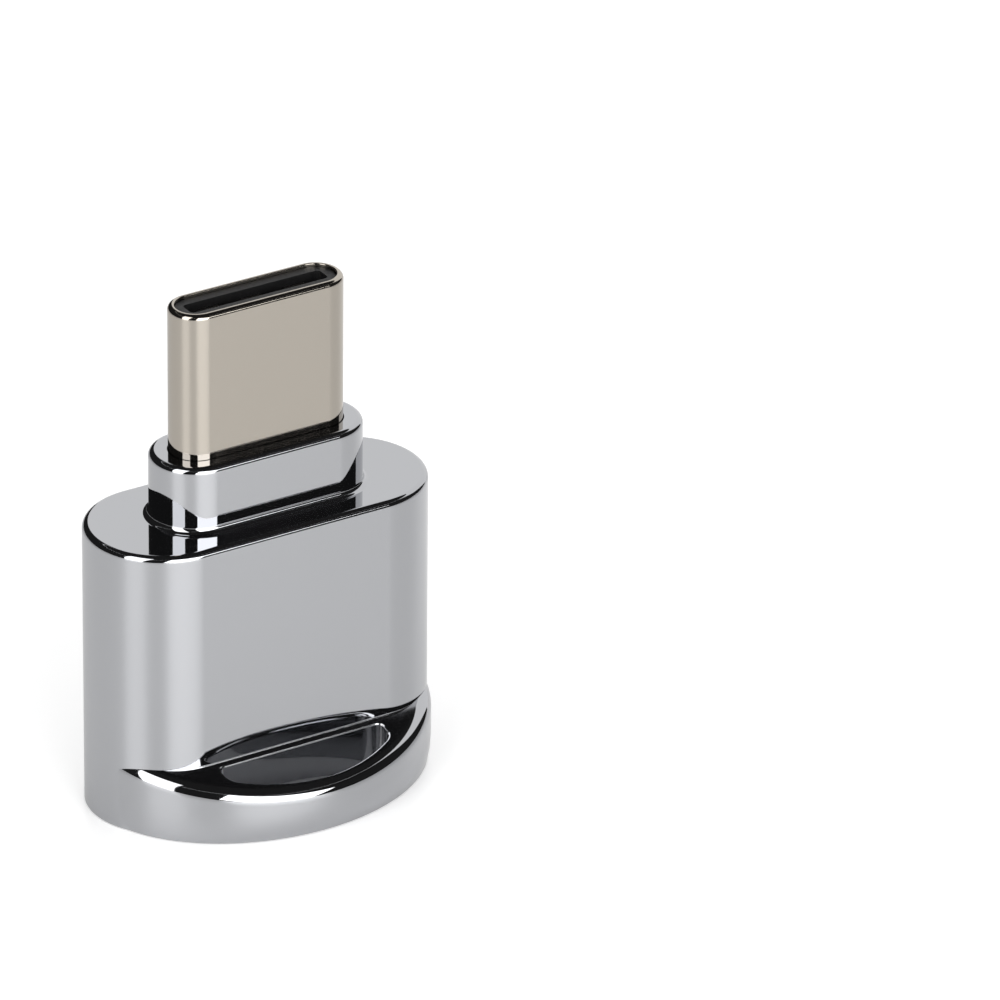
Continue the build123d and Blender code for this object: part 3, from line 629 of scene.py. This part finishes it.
def skyPatch(name, azimuth, bottom, top, radius):
    # sphere patch: radius times the direction of each azimuth and elevation, its top given at each azimuth
    across, up = studio["patchColumns"], studio["patchRows"]
    turns = np.linspace(azimuth[0], azimuth[-1], across)
    a, share = np.meshgrid(turns, np.linspace(0, 1, up))
    e = np.radians(bottom + share * (np.interp(turns, azimuth, top) - bottom))
    a = np.radians(a)
    place = radius * np.stack([np.cos(a) * np.cos(e), np.sin(a) * np.cos(e), np.sin(e)], -1) + studio["centre"]
    row, column = np.meshgrid(np.arange(up - 1), np.arange(across - 1), indexing="ij")
    start = (row * across + column).ravel()
    faces = np.stack([start, start + across, start + across + 1, start + 1], -1)
    mesh = bpy.data.meshes.new(name)
    mesh.from_pydata(place.reshape(-1, 3).tolist(), [], faces.tolist())
    made = bpy.data.objects.new(name, mesh)
    bpy.context.scene.collection.objects.link(made)
    made.visible_camera = made.visible_diffuse = made.visible_transmission = made.visible_shadow = False
    return made


def softBox(name, azimuth, elevation, lean, width, height, distance, radiance):
    # flat soft box facing the object, sized by the angles it fills; watts are radiance times pi times area
    a, e, r = np.radians((azimuth, elevation, lean))
    out = np.array([np.cos(a) * np.cos(e), np.sin(a) * np.cos(e), np.sin(e)])
    level = np.array([-np.sin(a), np.cos(a), 0])
    across = np.cos(r) * level - np.sin(r) * np.cross(out, level)
    lamp = bpy.data.lights.new(name, "AREA")
    lamp.shape = "RECTANGLE"
    lamp.size, lamp.size_y = (2 * distance * np.tan(np.radians(v / 2)) for v in (width, height))
    lamp.energy = radiance * np.pi * lamp.size * lamp.size_y
    made = bpy.data.objects.new(name, lamp)
    axes = np.stack([across, np.cross(out, across), out, np.array(studio["centre"]) + distance * out], -1)
    made.matrix_world = Matrix(np.vstack([axes, [0, 0, 0, 1]]).tolist())
    made.visible_camera = False
    bpy.context.scene.collection.objects.link(made)


# flat charcoal wall paint, rolled on: an even dark grey in the mirrors
paint, tree = material("charcoalWallPaint")
glow = add(tree, "Emission", {"Color": linear("#262626"), "Strength": 1.0})[0]
add(tree, "OutputMaterial", {"Surface": glow})
dress(paint, skyPatch("darkWall", **studio["darkWall"]), skyPatch("darkCeiling", **studio["darkCeiling"]))
softBox("keyBox", **studio["keyBox"])
softBox("sideBox", **studio["sideBox"])

# satin white floor: paint that still shows a broad sheen, lifted to white for the camera alone
s, drop = studio["floorSize"], studio["floorDrop"]
mesh = bpy.data.meshes.new("floor")
mesh.from_pydata([(-s, -s, -drop), (s, -s, -drop), (s, s, -drop), (-s, s, -drop)], [], [(0, 1, 2, 3)])
floor = bpy.data.objects.new("floor", mesh)
bpy.context.scene.collection.objects.link(floor)
satin, tree = material("satinFloorPaint")
sheet = add(tree, "BsdfPrincipled", {
    "Base Color": linear("#ececec"), "Roughness": 0.55, "IOR": 1.5,
    "Coat Weight": 1.0, "Coat Roughness": 0.38, "Coat IOR": 1.8,
})[0]
seen = add(tree, "LightPath")["Is Camera Ray"]
lift = add(tree, "Math", {0: seen, 1: studio["floorLift"]}, operation="MULTIPLY")[0]
glow = add(tree, "Emission", {"Color": (1, 1, 1, 1), "Strength": lift})[0]
both = add(tree, "AddShader", {0: sheet, 1: glow})[0]
add(tree, "OutputMaterial", {"Surface": both})
dress(satin, floor)

# white backdrop for the camera, the mirrors and clear plastic, the plain ambient level for everything else
world = bpy.data.worlds.new("whiteStudio")
world.use_nodes = True
tree = world.node_tree
tree.nodes.clear()
path = add(tree, "LightPath")
seen = add(tree, "Math", {0: path["Is Camera Ray"], 1: path["Is Glossy Ray"]}, operation="MAXIMUM")[0]
seen = add(tree, "Math", {0: seen, 1: path["Is Transmission Ray"]}, operation="MAXIMUM")[0]
level = add(tree, "MapRange", {"Value": seen, "To Min": studio["ambient"], "To Max": 1.0})[0]
sky = add(tree, "Background", {"Color": (1, 1, 1, 1), "Strength": level})[0]
add(tree, "OutputWorld", {"Surface": sky})
bpy.context.scene.world = world
print("studio set")

# camera fitted to the photograph's outlines: turn, height and roll in degrees, and where the target lands in pixels
view = dict(
    turn=30.518, height=27.802, roll=-0.082, distance=0.469744, target=(0, 0, 0.009),
    landsAt=(255.963, 584.516), focalPixels=11000.0, imagePixels=1000, sensorWidth=36.0, clip=(0.01, 20.0),
)
turn, height, roll = np.radians((view["turn"], view["height"], view["roll"]))
back = np.array([-np.sin(turn) * np.cos(height), -np.cos(turn) * np.cos(height), np.sin(height)])
right = np.cross(-back, [0, 0, 1])
right /= np.linalg.norm(right)
level = np.stack([right, -np.cross(right, -back), -back])
rolled = np.array([[np.cos(roll), -np.sin(roll), 0], [np.sin(roll), np.cos(roll), 0], [0, 0, 1]]) @ level
# turn that swings the middle of the picture to where the target lands
aim = np.array([(v - view["imagePixels"] / 2) / view["focalPixels"] for v in view["landsAt"]] + [1.0])
aim /= np.linalg.norm(aim)
axis = np.cross([0, 0, 1], aim)
skew = np.array([[0, -axis[2], axis[1]], [axis[2], 0, -axis[0]], [-axis[1], axis[0], 0]])
axes = (np.eye(3) + skew + skew @ skew / (1 + aim[2])) @ rolled
pose = np.eye(4)
pose[:3, 0], pose[:3, 1], pose[:3, 2] = axes[0], -axes[1], -axes[2]
pose[:3, 3] = np.array(view["target"]) + view["distance"] * back
lens = bpy.data.cameras.new("camera")
lens.sensor_width = view["sensorWidth"]
lens.lens = view["focalPixels"] / view["imagePixels"] * lens.sensor_width
lens.clip_start, lens.clip_end = view["clip"]
camera = bpy.data.objects.new("camera", lens)
camera.matrix_world = Matrix(pose.tolist())
bpy.context.scene.collection.objects.link(camera)
bpy.context.scene.camera = camera
bpy.context.scene.view_settings.view_transform = "Standard"
